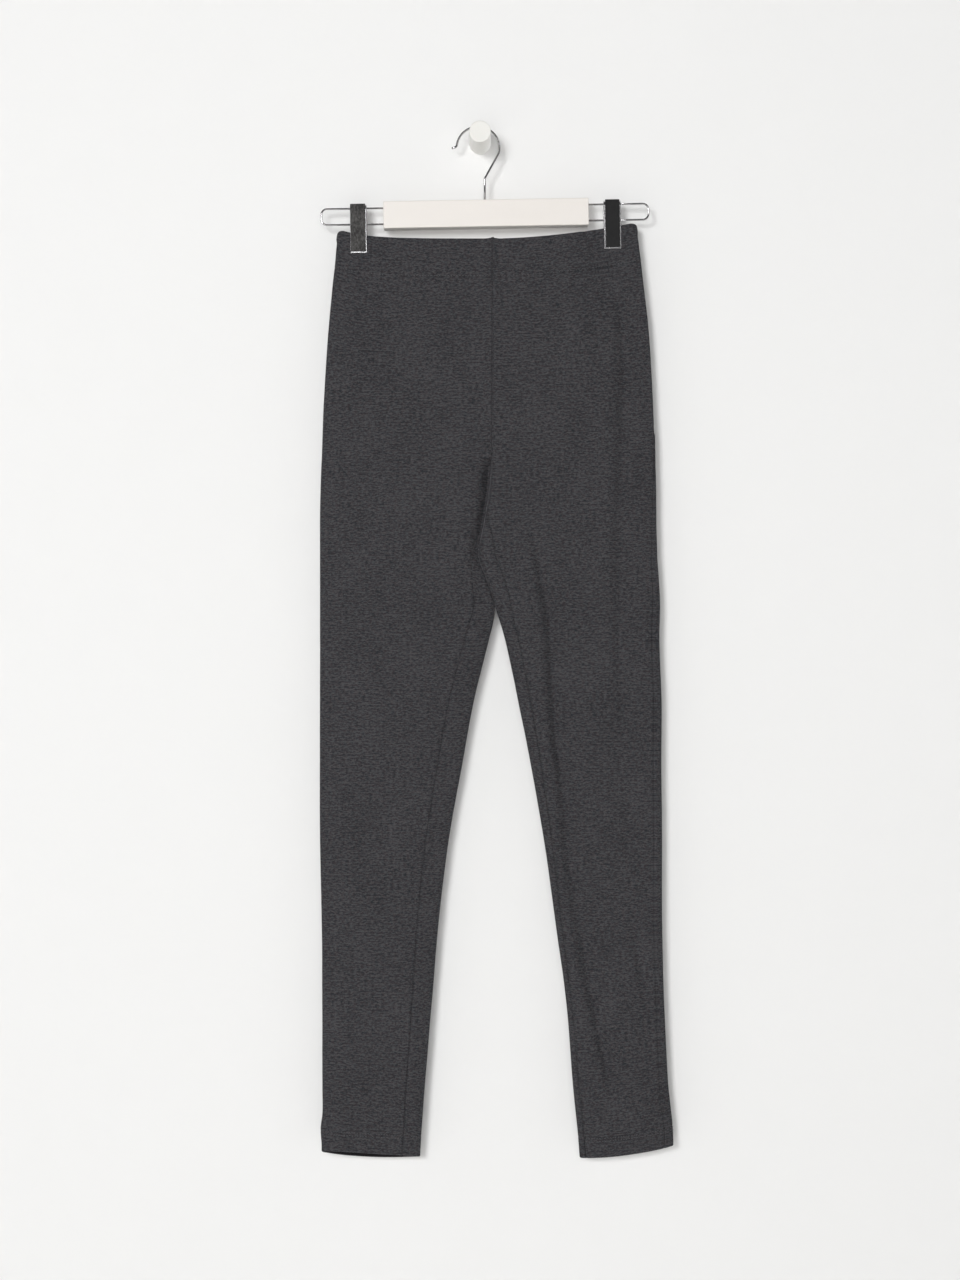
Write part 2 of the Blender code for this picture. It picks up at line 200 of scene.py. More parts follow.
wall_finish = Finish("wall paint", WALL_PAINT, 0.9)
wall_grain = wall_finish.noise((160.0, 160.0, 160.0), detail=3.0)
wall_finish.relief(wall_grain, 0.05, 0.001)
facing_away = wall_finish.add("ShaderNodeNewGeometry", {}, {}, "Backfacing")
shadow_ray = wall_finish.add("ShaderNodeLightPath", {}, {}, "Is Shadow Ray")
unseen = wall_finish.add("ShaderNodeMath", {"operation": "MAXIMUM"},
                         {0: facing_away, 1: shadow_ray})
clear_shader = wall_finish.add("ShaderNodeBsdfTransparent", {}, {})
wall_surface = Shade(wall_finish, wall_finish.shader.outputs[0])
wall_mix = wall_finish.add("ShaderNodeMixShader", {}, {0: unseen, 1: wall_surface, 2: clear_shader})
wall_finish.set(wall_finish.tree.nodes["Material Output"], "Surface", wall_mix)

wall_mesh = bmesh.new()
bmesh.ops.create_grid(wall_mesh, x_segments=1, y_segments=1, size=ROOM_HALF)
bmesh.ops.rotate(wall_mesh, verts=wall_mesh.verts, matrix=UPRIGHT)
bmesh.ops.translate(wall_mesh, verts=wall_mesh.verts, vec=(0.0, WALL_GAP, FLOOR_Z + ROOM_HALF))
wall = link_mesh("wall", wall_mesh, wall_finish, smooth=False)

floor_finish = Finish("floor paint", FLOOR_PAINT, 0.7)
floor_grain = floor_finish.noise((40.0, 40.0, 40.0), detail=3.0)
floor_finish.relief(floor_grain, 0.05, 0.001)
floor_mesh = bmesh.new()
bmesh.ops.create_grid(floor_mesh, x_segments=1, y_segments=1, size=ROOM_HALF * 2.0)
bmesh.ops.translate(floor_mesh, verts=floor_mesh.verts, vec=(0.0, 0.0, FLOOR_Z))
floor = link_mesh("floor", floor_mesh, floor_finish, smooth=False)


def add_lamp(name, place, size, power, mirrored=True):
    """A square soft box at a place, in metres, turned towards the garment."""
    data = bpy.data.lights.new(name, "AREA")
    data.shape = "SQUARE"
    data.size = size
    data.energy = power
    lamp = bpy.data.objects.new(name, data)
    lamp.location = place
    lamp.rotation_euler = (Vector(LIT_POINT) - Vector(place)).to_track_quat("-Z", "Y").to_euler()
    lamp.visible_glossy = mirrored
    bpy.context.scene.collection.objects.link(lamp)


add_lamp("key", (-1.6, -5.5, 0.55), 1.15, 132.0)
add_lamp("front fill", (-0.35, -5.7, -0.2), 2.3, 118.0, mirrored=False)
add_lamp("back fill", (1.2, 3.0, 0.4), 2.0, 40.0)

# The studio is brightest at its two sides, where white screens stand, and dim overhead,
# underfoot and behind the camera, so that plated wire shows dark against the wall.
STUDIO_DIM, STUDIO_SCREENS = 0.05, 0.52
SCREEN_EDGES = (0.55, 0.85)         # how far to the side the screens begin and are full
world = bpy.data.worlds.new("studio")
world.use_nodes = True
studio = world.node_tree
direction = studio.nodes.new("ShaderNodeTexCoord")
parts = studio.nodes.new("ShaderNodeSeparateXYZ")
sideways = studio.nodes.new("ShaderNodeMath")
sideways.operation = "ABSOLUTE"
screens = studio.nodes.new("ShaderNodeMapRange")
screens.interpolation_type = "SMOOTHSTEP"
for socket, value in (("From Min", SCREEN_EDGES[0]), ("From Max", SCREEN_EDGES[1]),
                      ("To Min", STUDIO_DIM), ("To Max", STUDIO_SCREENS)):
    screens.inputs[socket].default_value = value
studio.links.new(direction.outputs["Generated"], parts.inputs[0])
studio.links.new(parts.outputs["X"], sideways.inputs[0])
studio.links.new(sideways.outputs[0], screens.inputs["Value"])
studio.links.new(screens.outputs[0], studio.nodes["Background"].inputs["Strength"])
studio.nodes["Background"].inputs["Color"].default_value = (1.0, 1.0, 1.0, 1.0)
bpy.context.scene.world = world

# ---- Peg ----------------------------------------------------------------------------------
# A turned round of wood, painted white, that stands straight out of the wall.  Its front edge
# is eased, and the paint shows a faint ring from the lathe.
PEG_LOW, PEG_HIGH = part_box("peg")
PEG_EASED = 0.9 * MM
PEG_TONES = ((0.782, 0.775, 0.738), (0.812, 0.805, 0.772))

peg_finish = Finish("peg paint", PEG_TONES[1], 0.42, Coat_Weight=0.15, Coat_Roughness=0.3)
peg_mottle = peg_finish.noise((60.0, 60.0, 60.0), detail=3.0)
peg_finish.feed(Base_Color=peg_finish.blend(peg_mottle, *PEG_TONES),
                Roughness=0.36 + 0.14 * peg_mottle)
peg_grain = peg_finish.noise((900.0, 60.0, 900.0), detail=2.0)
peg_finish.relief(peg_grain, 0.12, 0.0004)

peg_length = PEG_HIGH.y - PEG_LOW.y
peg_radius = 0.5 * (PEG_HIGH.z - PEG_LOW.z)
peg_mesh = bmesh.new()
bmesh.ops.create_cone(peg_mesh, cap_ends=True, segments=96, radius1=peg_radius,
                      radius2=peg_radius, depth=peg_length)
rims = [edge for edge in peg_mesh.edges if abs(edge.verts[0].co.z - edge.verts[1].co.z) < 1e-6]
bmesh.ops.bevel(peg_mesh, geom=rims, affect="EDGES", offset=PEG_EASED, segments=4, profile=0.5,
                material=-1)
bmesh.ops.rotate(peg_mesh, verts=peg_mesh.verts, matrix=UPRIGHT)
bmesh.ops.translate(peg_mesh, verts=peg_mesh.verts, vec=(0.0, PEG_LOW.y + 0.5 * peg_length, 0.0))
peg = link_mesh("peg_turned", peg_mesh, peg_finish)
flatten_large(peg, 0.9)
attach(peg, "root")
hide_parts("peg")

# ---- Hook ---------------------------------------------------------------------------------
# One length of bright plated wire: a straight stem out of the bar, a neck that leans to the
# right, a round bend over the peg, and a tip turned out so that it doesn't catch the cloth.
# Wire is bent in the plane of the hanger from runs and bends, each starting where the last
# one stopped.
STEEL = (0.46, 0.455, 0.465)
WORN_TONES = (0.88, 1.16)           # darker where handled, lighter where not


def bright_steel(name, roughness, painted_reflection=1.0):
    """Plated steel, less even where it has been handled, its colour scaled by a painted reflection.
    """
    dull, bright = [[tone * painted_reflection * part for part in STEEL] for tone in WORN_TONES]
    finish = Finish(name, bright, roughness, Metallic=1.0)
    worn = finish.noise((220.0, 220.0, 220.0), detail=4.0)
    finish.feed(Roughness=roughness * (0.7 + 0.6 * worn),
                Base_Color=finish.blend(worn, dull, bright))
    return finish


wire_finish = bright_steel("bright wire", 0.13)


def edges_in(items):
    return [item for item in items if isinstance(item, bmesh.types.BMEdge)]


def draw_out(mesh, edges):
    """Extrude edges; the verts and edges at the new end, still in place."""
    geom = bmesh.ops.extrude_edge_only(mesh, edges=edges)["geom"]
    verts = [item for item in geom if isinstance(item, bmesh.types.BMVert)]
    return verts, [edge for edge in edges_in(geom) if all(vert in verts for vert in edge.verts)]


def bend_wire(name, start, heading, steps, diameter, finish):
    """A closed round wire.

    start is (x, z) of its first end and heading its angle above +X in degrees.  Each step is
    ("run", length) or ("bend", radius, degrees), where degrees above 0 bend to the left.
    """
    mesh = bmesh.new()
    place, angle = Vector((start[0], CLOTH_Y, start[1])), math.radians(heading)
    radius = 0.5 * diameter
    cap = 0.35 * radius
    turn = Matrix.Rotation(math.radians(90.0), 4, "X") @ Matrix.Rotation(math.radians(90.0), 4, "Y")
    aim = Matrix.Rotation(-angle, 4, "Y")
    bmesh.ops.create_circle(mesh, cap_ends=True, segments=16, radius=radius - cap,
                            matrix=Matrix.Translation(place) @ aim @ turn)
    edges = list(next(iter(mesh.faces)).edges)

    def onward(length, grow=0.0):
        nonlocal edges, place
        ahead = Vector((math.cos(angle), 0.0, math.sin(angle)))
        verts, edges = draw_out(mesh, edges)
        for vert in verts:
            out = vert.co - place
            vert.co = place + ahead * length + out * (1.0 + grow)
        place = place + ahead * length

    onward(cap, grow=cap / (radius - cap))
    for step in steps:
        if step[0] == "run":
            onward(step[1])
            continue
        bend_radius, degrees = step[1], step[2]
        side = math.copysign(1.0, degrees)
        left = Vector((-math.sin(angle), 0.0, math.cos(angle)))
        centre = place + left * bend_radius * side
        sweep = math.radians(degrees)
        result = bmesh.ops.spin(mesh, geom=edges, cent=centre, axis=(0.0, -1.0, 0.0), angle=sweep,
                                steps=max(4, int(abs(degrees) / 4.0)), use_merge=False,
                                use_duplicate=False)
        edges = edges_in(result["geom_last"])
        place = centre + Matrix.Rotation(-sweep, 3, "Y") @ (place - centre)
        angle += sweep
    onward(cap, grow=-cap / radius)
    bmesh.ops.contextual_create(mesh, geom=edges)
    bmesh.ops.remove_doubles(mesh, verts=mesh.verts, dist=0.0005)
    bmesh.ops.recalc_face_normals(mesh, faces=mesh.faces)
    bmesh.ops.scale(mesh, verts=mesh.verts, vec=(MM, MM, MM))
    return link_mesh(name, mesh, finish)


HOOK_LOW, HOOK_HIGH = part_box("hook")
HOOK_WIRE = (HOOK_HIGH.y - HOOK_LOW.y) / MM
HOOK_ROUND = 22.5
HOOK_CENTRE = (-2.1, -9.6)
ROUND_START = -9.4                  # degrees round the hook's centre
ROUND_END = 171.0
NECK_LEAN = 29.0                    # degrees
STEM_X = 5.0
FOOT_BEND, TOP_BEND = 4.0, 8.0      # radii of the neck's two bends
TIP = (("run", 0.6), ("bend", 2.6, -62.0), ("run", 3.4))
BAR_LOWERED = 1.2                   # the stem reaches this much further, into the bar

lean, meet = math.radians(NECK_LEAN), math.radians(-ROUND_START)
neck_across = HOOK_CENTRE[0] + HOOK_ROUND * math.cos(meet) - STEM_X
neck_run = (neck_across - FOOT_BEND * (1.0 - math.cos(lean))
            - TOP_BEND * (math.cos(meet) - math.cos(lean))) / math.sin(lean)
neck_rise = (FOOT_BEND * math.sin(lean) + neck_run * math.cos(lean)
             + TOP_BEND * (math.sin(lean) - math.sin(meet)))
stem_top = HOOK_CENTRE[1] - HOOK_ROUND * math.sin(meet) - neck_rise
stem_foot = HOOK_LOW.z / MM - BAR_LOWERED
hook = bend_wire("hook_wire", (STEM_X, stem_foot), 90.0,
                 (("run", stem_top - stem_foot), ("bend", FOOT_BEND, -NECK_LEAN),
                  ("run", neck_run), ("bend", TOP_BEND, NECK_LEAN + ROUND_START),
                  ("bend", HOOK_ROUND, ROUND_END - ROUND_START), *TIP),
                 HOOK_WIRE, wire_finish)
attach(hook, "root")
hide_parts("hook")

# ---- Bar ----------------------------------------------------------------------------------
# A square-edged wooden bar, sanded and sprayed off-white.  The stem goes down into it, and
# the wire loop goes into its two ends.
TILT = math.radians(1.0)            # the right end of the hanger hangs a little higher
BAR_LOW, BAR_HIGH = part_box("bar")
BAR_SET_DOWN = 1.3
BAR_CENTRE = 0.5 * (BAR_LOW + BAR_HIGH) - Vector((0.0, 0.0, BAR_SET_DOWN)) * MM
BAR_SIZE = Vector((215.0, 19.0, 28.2)) * MM
BAR_EASED = 0.9 * MM
BAR_TONES = ((0.778, 0.739, 0.698), (0.802, 0.765, 0.727))

bar_finish = Finish("bar paint", BAR_TONES[0], 0.45, Coat_Weight=0.12, Coat_Roughness=0.35)
bar_mottle = bar_finish.noise((14.0, 60.0, 60.0), detail=4.0)
bar_finish.feed(Base_Color=bar_finish.blend(bar_mottle, *BAR_TONES),
                Roughness=0.40 + 0.14 * bar_mottle)
bar_grain = bar_finish.noise((18.0, 900.0, 900.0), detail=3.0)
bar_finish.relief(bar_grain, 0.10, 0.0005)


def on_hanger(along, out, up):
    """World place, in mm, of a point along, out from and above the bar's centre line."""
    return (BAR_CENTRE.x / MM + along * math.cos(TILT) - up * math.sin(TILT),
            BAR_CENTRE.y / MM + out,
            BAR_CENTRE.z / MM + along * math.sin(TILT) + up * math.cos(TILT))


def add_block(name, centre, size, edge, segments, finish):
    """A box with rounded edges, tilted with the hanger.  Sizes in metres."""
    mesh = bmesh.new()
    bmesh.ops.create_cube(mesh, size=1.0)
    bmesh.ops.scale(mesh, verts=mesh.verts, vec=size)
    bmesh.ops.bevel(mesh, geom=mesh.edges[:], affect="EDGES", offset=edge, segments=segments,
                    profile=0.5, material=-1)
    bmesh.ops.rotate(mesh, verts=mesh.verts, matrix=Matrix.Rotation(-TILT, 3, "Y"))
    bmesh.ops.translate(mesh, verts=mesh.verts, vec=centre)
    block = link_mesh(name, mesh, finish)
    flatten_large(block, 0.2)
    return block


bar = add_block("bar_painted", BAR_CENTRE, BAR_SIZE, BAR_EASED, 4, bar_finish)
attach(bar, "root")
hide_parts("bar")

# ---- Wire loop ----------------------------------------------------------------------------
# Bright plated wire, bent to a flat loop that sticks out of both ends of the bar.  The clips
# slide along it.
LOOP_WIRE = 2.0
LOOP_SPACING = 16.8
LOOP_CORNER = 6.0
LOOP_IN_BAR = 0.6
HangerEnd = namedtuple("HangerEnd", "name direction reach clip clip_width face_width face_shift")
HANGER_ENDS = (
    HangerEnd("left", -1, 173.6, 134.0, 17.2, 15.7, -0.4),
    HangerEnd("right", 1, 171.2, 132.3, 17.8, 15.0, 0.1),
)
for end in HANGER_ENDS:
    near = 0.5 * BAR_SIZE.x / MM - LOOP_IN_BAR
    straight = end.reach - 0.5 * LOOP_WIRE - LOOP_CORNER - near
    x, _, z = on_hanger(end.direction * near, 0.0, 0.5 * LOOP_SPACING * end.direction)
    corner = ("bend", LOOP_CORNER, -90.0)
    loop = bend_wire("loop_" + end.name, (x, z),
                     math.degrees(TILT) + (0.0 if end.direction > 0 else 180.0),
                     (("run", straight), corner, ("run", LOOP_SPACING - 2.0 * LOOP_CORNER), corner,
                      ("run", straight)),
                     LOOP_WIRE, wire_finish)
    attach(loop, "root")
    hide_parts("wire_loop_" + end.name)

# ---- Clips --------------------------------------------------------------------------------
# Each is a hairpin of bright spring steel astride both wires, with a dark polished face
# let into its front.  The feet pinch the waist of the garment.
CLIP_TOP, CLIP_FOOT = 12.2, -39.0
CLIP_GAP = 4.2
CLIP_STEEL, CLIP_EASED = 1.2, 0.28
FACE_THICK, FACE_HIGH, FACE_EASED = 1.4, 50.0, 0.4
FACE_MIDDLE, FACE_ABOVE = 0.35, 0.3     # in front of the steel, and above its bend
# The two clips are one part.  The left clip's steel is painted darker and its face lighter than the
# right clip's, as painted reflection.
CLIP_PAINTED_REFLECTION = {"left": 0.8, "right": 1.25}
FACE_TONES_WITH_PAINTED_REFLECTION = {"left": ((0.019, 0.018, 0.0175), (0.088, 0.085, 0.083)),
              "right": ((0.0095, 0.0095, 0.010), (0.0135, 0.0135, 0.014))}

for end in HANGER_ENDS:
    clip_finish = bright_steel("clip steel " + end.name, 0.26, CLIP_PAINTED_REFLECTION[end.name])
    half_width = 0.5 * end.clip_width
    middle = CLIP_GAP + 0.5 * CLIP_STEEL
    bend_centre = CLIP_TOP - middle - 0.5 * CLIP_STEEL
    strip = bmesh.new()
    edge = [strip.verts.new((side * half_width, -middle, CLIP_FOOT)) for side in (-1.0, 1.0)]
    geometry = [strip.edges.new(edge)]
    for rise in (bend_centre - CLIP_FOOT, None, CLIP_FOOT - bend_centre):
        if rise is None:
            result = bmesh.ops.spin(strip, geom=geometry, cent=(0.0, 0.0, bend_centre),
                                    axis=(1.0, 0.0, 0.0), angle=math.radians(-180.0), steps=14,
                                    use_merge=False, use_duplicate=False)
            geometry = edges_in(result["geom_last"])
            continue
        moved, geometry = draw_out(strip, geometry)
        bmesh.ops.translate(strip, verts=moved, vec=(0.0, 0.0, rise))
    bmesh.ops.remove_doubles(strip, verts=strip.verts, dist=0.001)
    bmesh.ops.recalc_face_normals(strip, faces=strip.faces)
    bmesh.ops.solidify(strip, geom=strip.faces[:], thickness=CLIP_STEEL)
    bmesh.ops.recalc_face_normals(strip, faces=strip.faces)
    # the plate is centred on the middle line, whichever way the wall was grown
    spread = max(abs(vert.co.y) for vert in strip.verts)
    shift = middle + 0.5 * CLIP_STEEL - spread
    for vert in strip.verts:
        reach = Vector((0.0, vert.co.y, max(vert.co.z - bend_centre, 0.0)))
        vert.co += reach.normalized() * shift
    sharp = [item for item in strip.edges if item.calc_face_angle(0.0) > math.radians(60.0)]
    bmesh.ops.bevel(strip, geom=sharp, affect="EDGES", offset=CLIP_EASED, segments=2,
                    profile=0.5, material=-1)
    place = Vector(on_hanger(end.direction * end.clip, 0.0, 0.0)) * MM
    stand = Matrix.Translation(place) @ Matrix.Rotation(-TILT, 4, "Y") @ Matrix.Scale(MM, 4)
    bmesh.ops.transform(strip, matrix=stand, verts=strip.verts)
    clip = link_mesh("clip_frame_" + end.name, strip, clip_finish)
    flatten_large(clip, 0.02)
    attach(clip, "root")
    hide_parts("clip_" + end.name)

    dark, light = FACE_TONES_WITH_PAINTED_REFLECTION[end.name]
    face_finish = Finish("clip face " + end.name, dark, 0.5, Specular_IOR_Level=0.22)
    brushed = face_finish.noise((620.0, 620.0, 300.0), detail=3.0, roughness=0.6)
    blotch = face_finish.noise((90.0, 90.0, 60.0), detail=2.0)
    face_finish.feed(Base_Color=face_finish.blend(
        face_finish.window(0.6 * brushed + 0.4 * blotch, 0.44, 0.64), dark, light),
        Roughness=0.42 + 0.2 * brushed)
    face_finish.relief(brushed, 0.15, 0.0003)
    face_centre = on_hanger(end.direction * end.clip + end.face_shift,
                            -CLIP_GAP - CLIP_STEEL - FACE_MIDDLE,
                            CLIP_TOP + FACE_ABOVE - 0.5 * FACE_HIGH)
    face_size = Vector((end.face_width, FACE_THICK, FACE_HIGH))
    face = add_block("clip_plate_" + end.name, Vector(face_centre) * MM, face_size * MM,
                     FACE_EASED * MM, 3, face_finish)
    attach(face, "root")
    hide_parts("clip_face_" + end.name)

# ---- Jersey -------------------------------------------------------------------------------
# Cotton jersey knitted from a marl yarn, in which a few lighter and darker fibres show as short
# streaks across the cloth.  It has fine wales down it and a soft nap that catches light at its
# edges.
JERSEY = 1.1
MARL_MEAN = (0.053, 0.051, 0.055)
MARL_DARK = (0.0135, 0.0125, 0.0145)
MARL_LIGHT = (0.076, 0.072, 0.0765)
MARL_BLUE = (0.028, 0.037, 0.043)
MARL_BROWN = (0.064, 0.040, 0.039)
BRIGHT_FIBRE = (0.125, 0.122, 0.130)
NAP_TINT = (0.93, 0.93, 1.0, 1.0)
INSIDE_PAINTED_SHADE = ((0.007, 0.0066, 0.007), (0.016, 0.015, 0.016))
WALES = 1150.0                      # to the metre
COURSES = 1700.0

jersey = Finish("marl jersey", MARL_MEAN, 0.92, on="UV", Sheen_Weight=0.26,
                Sheen_Roughness=0.32, Specular_IOR_Level=0.22)
jersey.set(jersey.shader, "Sheen Tint", NAP_TINT)
# repeats are across the cloth and down it
streaks = jersey.noise((280.0, 640.0, 1.0), detail=1.5)
lines = jersey.noise((62.0, 560.0, 1.0), detail=2.0)
flecks = jersey.noise((640.0, 1150.0, 1.0), detail=1.0)
mottle = jersey.noise((22.0, 16.0, 1.0), detail=4.0, roughness=0.6)
tints = jersey.noise((260.0, 420.0, 1.0), detail=2.0)
bright_fibre = jersey.window(jersey.noise((330.0, 1250.0, 1.0), detail=1.0), 0.66, 0.78)
marl = jersey.window(0.44 * streaks + 0.22 * lines + 0.26 * flecks + 0.08 * mottle, 0.43, 0.57)
tinted = jersey.blend(0.5 * jersey.window(tints, 0.40, 0.62), MARL_BLUE, MARL_BROWN)
yarn = jersey.blend(0.36, jersey.blend(marl, MARL_DARK, MARL_LIGHT), tinted)
jersey.feed(Base_Color=jersey.blend(0.5 * bright_fibre, yarn, BRIGHT_FIBRE),
            Roughness=0.84 + 0.12 * streaks)

cloth_place = jersey.add("ShaderNodeTexCoord", {}, {}, "UV")
across_place = jersey.add("ShaderNodeSeparateXYZ", {}, {"Vector": cloth_place}, "X")
down_place = Shade(jersey, across_place.socket.node.outputs["Y"])


def sine(value):
    return value.math("SINE", value, 0.0)


wale_wave = sine(across_place * (2.0 * math.pi * WALES))
loop_wave = sine(down_place * (2.0 * math.pi * COURSES) + 1.4 * wale_wave)
jersey.relief(0.45 * wale_wave + 0.25 * loop_wave + 1.6 * streaks + 1.1 * flecks, 0.30, 0.00016)

# The inner layer of the turned edges is plainer, and is painted much darker as painted shade for
# the shadow inside them.
jersey_inside_shade = Finish("jersey wrong side", INSIDE_PAINTED_SHADE[1], 0.95, on="UV",
                       Specular_IOR_Level=0.1)
inside_shade_loops = jersey_inside_shade.noise((900.0, 1500.0, 1.0), detail=1.0)
jersey_inside_shade.feed(Base_Color=jersey_inside_shade.blend(inside_shade_loops, *INSIDE_PAINTED_SHADE))

# ---- Legs: front and back panels ----------------------------------------------------------
# Four panels, a front and a back to each leg.  They are joined at the sides, down the inner
# legs and up the centre with overlocked seams, and hang from the clips as two flat tubes.
# The tables give the outline of that tube; inner edges above the crotch are its centre line.
Row = namedtuple("Row", "z left_outer left_inner right_inner right_outer half_depth valley")
OUTLINE = [Row(*row) for row in (
    (-90, -149.6, 13.2, 13.2, 163.4, 8, 0),
    (-131, -151.2, 13.2, 13.2, 167.6, 8.2, 0),
    (-169, -155.2, 13.2, 13.2, 172.2, 8.6, 0),
    (-211, -159.6, 13, 13, 177.4, 9, 0),
    (-274, -163.8, 12.6, 12.6, 181.7, 9.2, 0),
    (-322, -165.6, 12.1, 12.1, 183.4, 9.4, 0),
    (-334, -165.9, 11.6, 11.6, 183.8, 9.8, 0.10),
    (-343, -166.4, 11.2, 11.2, 184.1, 10.2, 0.80),
    (-356, -166.9, 10.5, 10.5, 184.5, 10.6, 1),
    (-372, -167.4, 9, 9, 184.8, 10.6, 1),
    (-392, -167.9, 6, 6, 185.2, 10.4, 1),
    (-410, -168, 2.6, 2.6, 185.4, 10, 1),
    (-430, -168, -1.6, -1.6, 186, 9.2, 1),
    (-441, -168, -1, -1, 186.3, 8.8, 1),
    (-462, -168, 6.6, 6.6, 187.8, 8.4, 1),
    (-491, -168, 15.8, 15.8, 189, 8.4, 1),
    (-526, -168, 9.5, 26.3, 188.4, 8.4, 1),
    (-589, -168, -6.3, 39.9, 190.6, 8.2, 1),
    (-652, -168, -17.9, 52.5, 190.4, 8, 1),
    (-736, -168, -32.6, 67.2, 191.1, 8, 1),
    (-820, -166.2, -43.1, 78.8, 191.3, 7.8, 1),
    (-904, -165.7, -50.4, 90.3, 193.4, 7.6, 1),
    (-988, -165.3, -58.2, 97.9, 197.2, 7.4, 1),
    (-1016, -165.2, -60.2, 100.9, 200.2, 7.2, 1),
    (-1033, -167.2, -61.4, 102.8, 202.2, 6.8, 1),
    (-1050, -166.3, -62.4, 104.2, 203, 6.4, 1),
    (-1070, -166.4, -63.2, 105.6, 203.2, 6.2, 1),
)]

# Where the seams lie on the front, in from the edge beside them.
Seam = namedtuple("Seam", "z left_inseam right_inseam left_side right_side")
SEAMS = [Seam(*row) for row in (
    (-300, 0, 0, 0, 0),
    (-350, 0, 0, 0, 1.4),
    (-392, 0, 0.4, 0, 3.5),
    (-400, 0, 3.7, 0, 4),
    (-412, 1, 10.1, 0, 4.6),
    (-428, 5, 16.2, 0, 5.2),
    (-445, 9, 19.2, 0, 5.8),
    (-465, 15, 18.8, 0, 6.6),
    (-482, 20, 18.2, 0, 7.1),
    (-512, 25, 15, 0, 7.8),
    (-581, 25.6, 13.1, 0, 8),
    (-683, 25, 9.5, 0, 8.2),
    (-782, 23, 6.9, 0, 8.6),
    (-881, 21, 5.6, 0, 8.2),
    (-963, 19.2, 5.8, 0, 8.4),
    (-1070, 18.2, 5.8, 0, 9.6),
)]

# How far in from the edge a tube is still rounding away.  The right leg's inner edge lies over
# the left one at the crotch, so it is the crisper of the two there.
Rounding = namedtuple("Rounding", "z outer left_inner right_inner")
ROUNDINGS = [Rounding(*row) for row in (
    (-90, 38, 10, 4),
    (-375, 38, 10, 3.6),
    (-395, 38, 10, 2.2),
    (-412, 38, 11, 2.6),
    (-430, 38, 14, 15),
    (-480, 38, 20, 19),
    (-540, 38, 30, 24),
    (-680, 38, 28, 26),
    (-1070, 38, 28, 26),
)]

# rise is how much higher the waist edge is at the side than at the centre.  hem_hang lowers the
# whole hem, and the drops are how much lower it is at the inner leg and at the back.
Half = namedtuple("Half", "name direction rise rise_power hem_hang hem_drop hem_power back_drops "
                          "clip_x")
HALVES = (
    Half("left", 1, 10.2, 4.8, 2.4, 6.6, 1.0, (6.0, 1.6, -3.0), -127.7),
    Half("right", -1, 17.6, 1.8, -1.1, 12.5, 1.9, (0.6, 0.0, 0.0), 138.6),
)
LEAST_HALF_DEPTH = 0.7              # creases leave this much between the front and the middle
SEAM_BUMP, BUMP_WIDE = 0.8, 4.6     # how far the centre seam stands up at the waist's edge
SIDE_SEAM = {"left": 0.0, "right": 0.8}             # how deep the side seams are sunk
INSEAM_SHOWN = {"left": -455.0, "right": -380.0}    # level from which the inner seam is open
SEAM_SUNK, CENTRE_SUNK = 0.95, 0.70                 # how deep the other seams are sunk
SEAM_WIDE = 0.95
TURNINGS = (0.22, 3.4, 1.7)         # height of their ridge, distance from the seam, and width
STITCHED_IN = 0.20                  # how deep a row of stitches is pulled in
FLAT_BY = 1.5                       # a turned edge is smooth this far inside its fold
LOOSENESS = ((0.42, 46.0, 95.0, 0.0), (0.16, 15.0, 38.0, 5.0))  # height, across, down, seed
CORNER = (6.0, 5.0)                 # how far along and down the waist's corners are rounded
CASING_TOP, CASING_FOOT, CASING_DEEP = -105.1, -145.5, 3.0
HEM_TOP, HEM_FOOT = -1036.0, -1057.5
PINCHED = 3.3                       # half thickness of the waist inside a clip
PINCH_REACH = 30.0

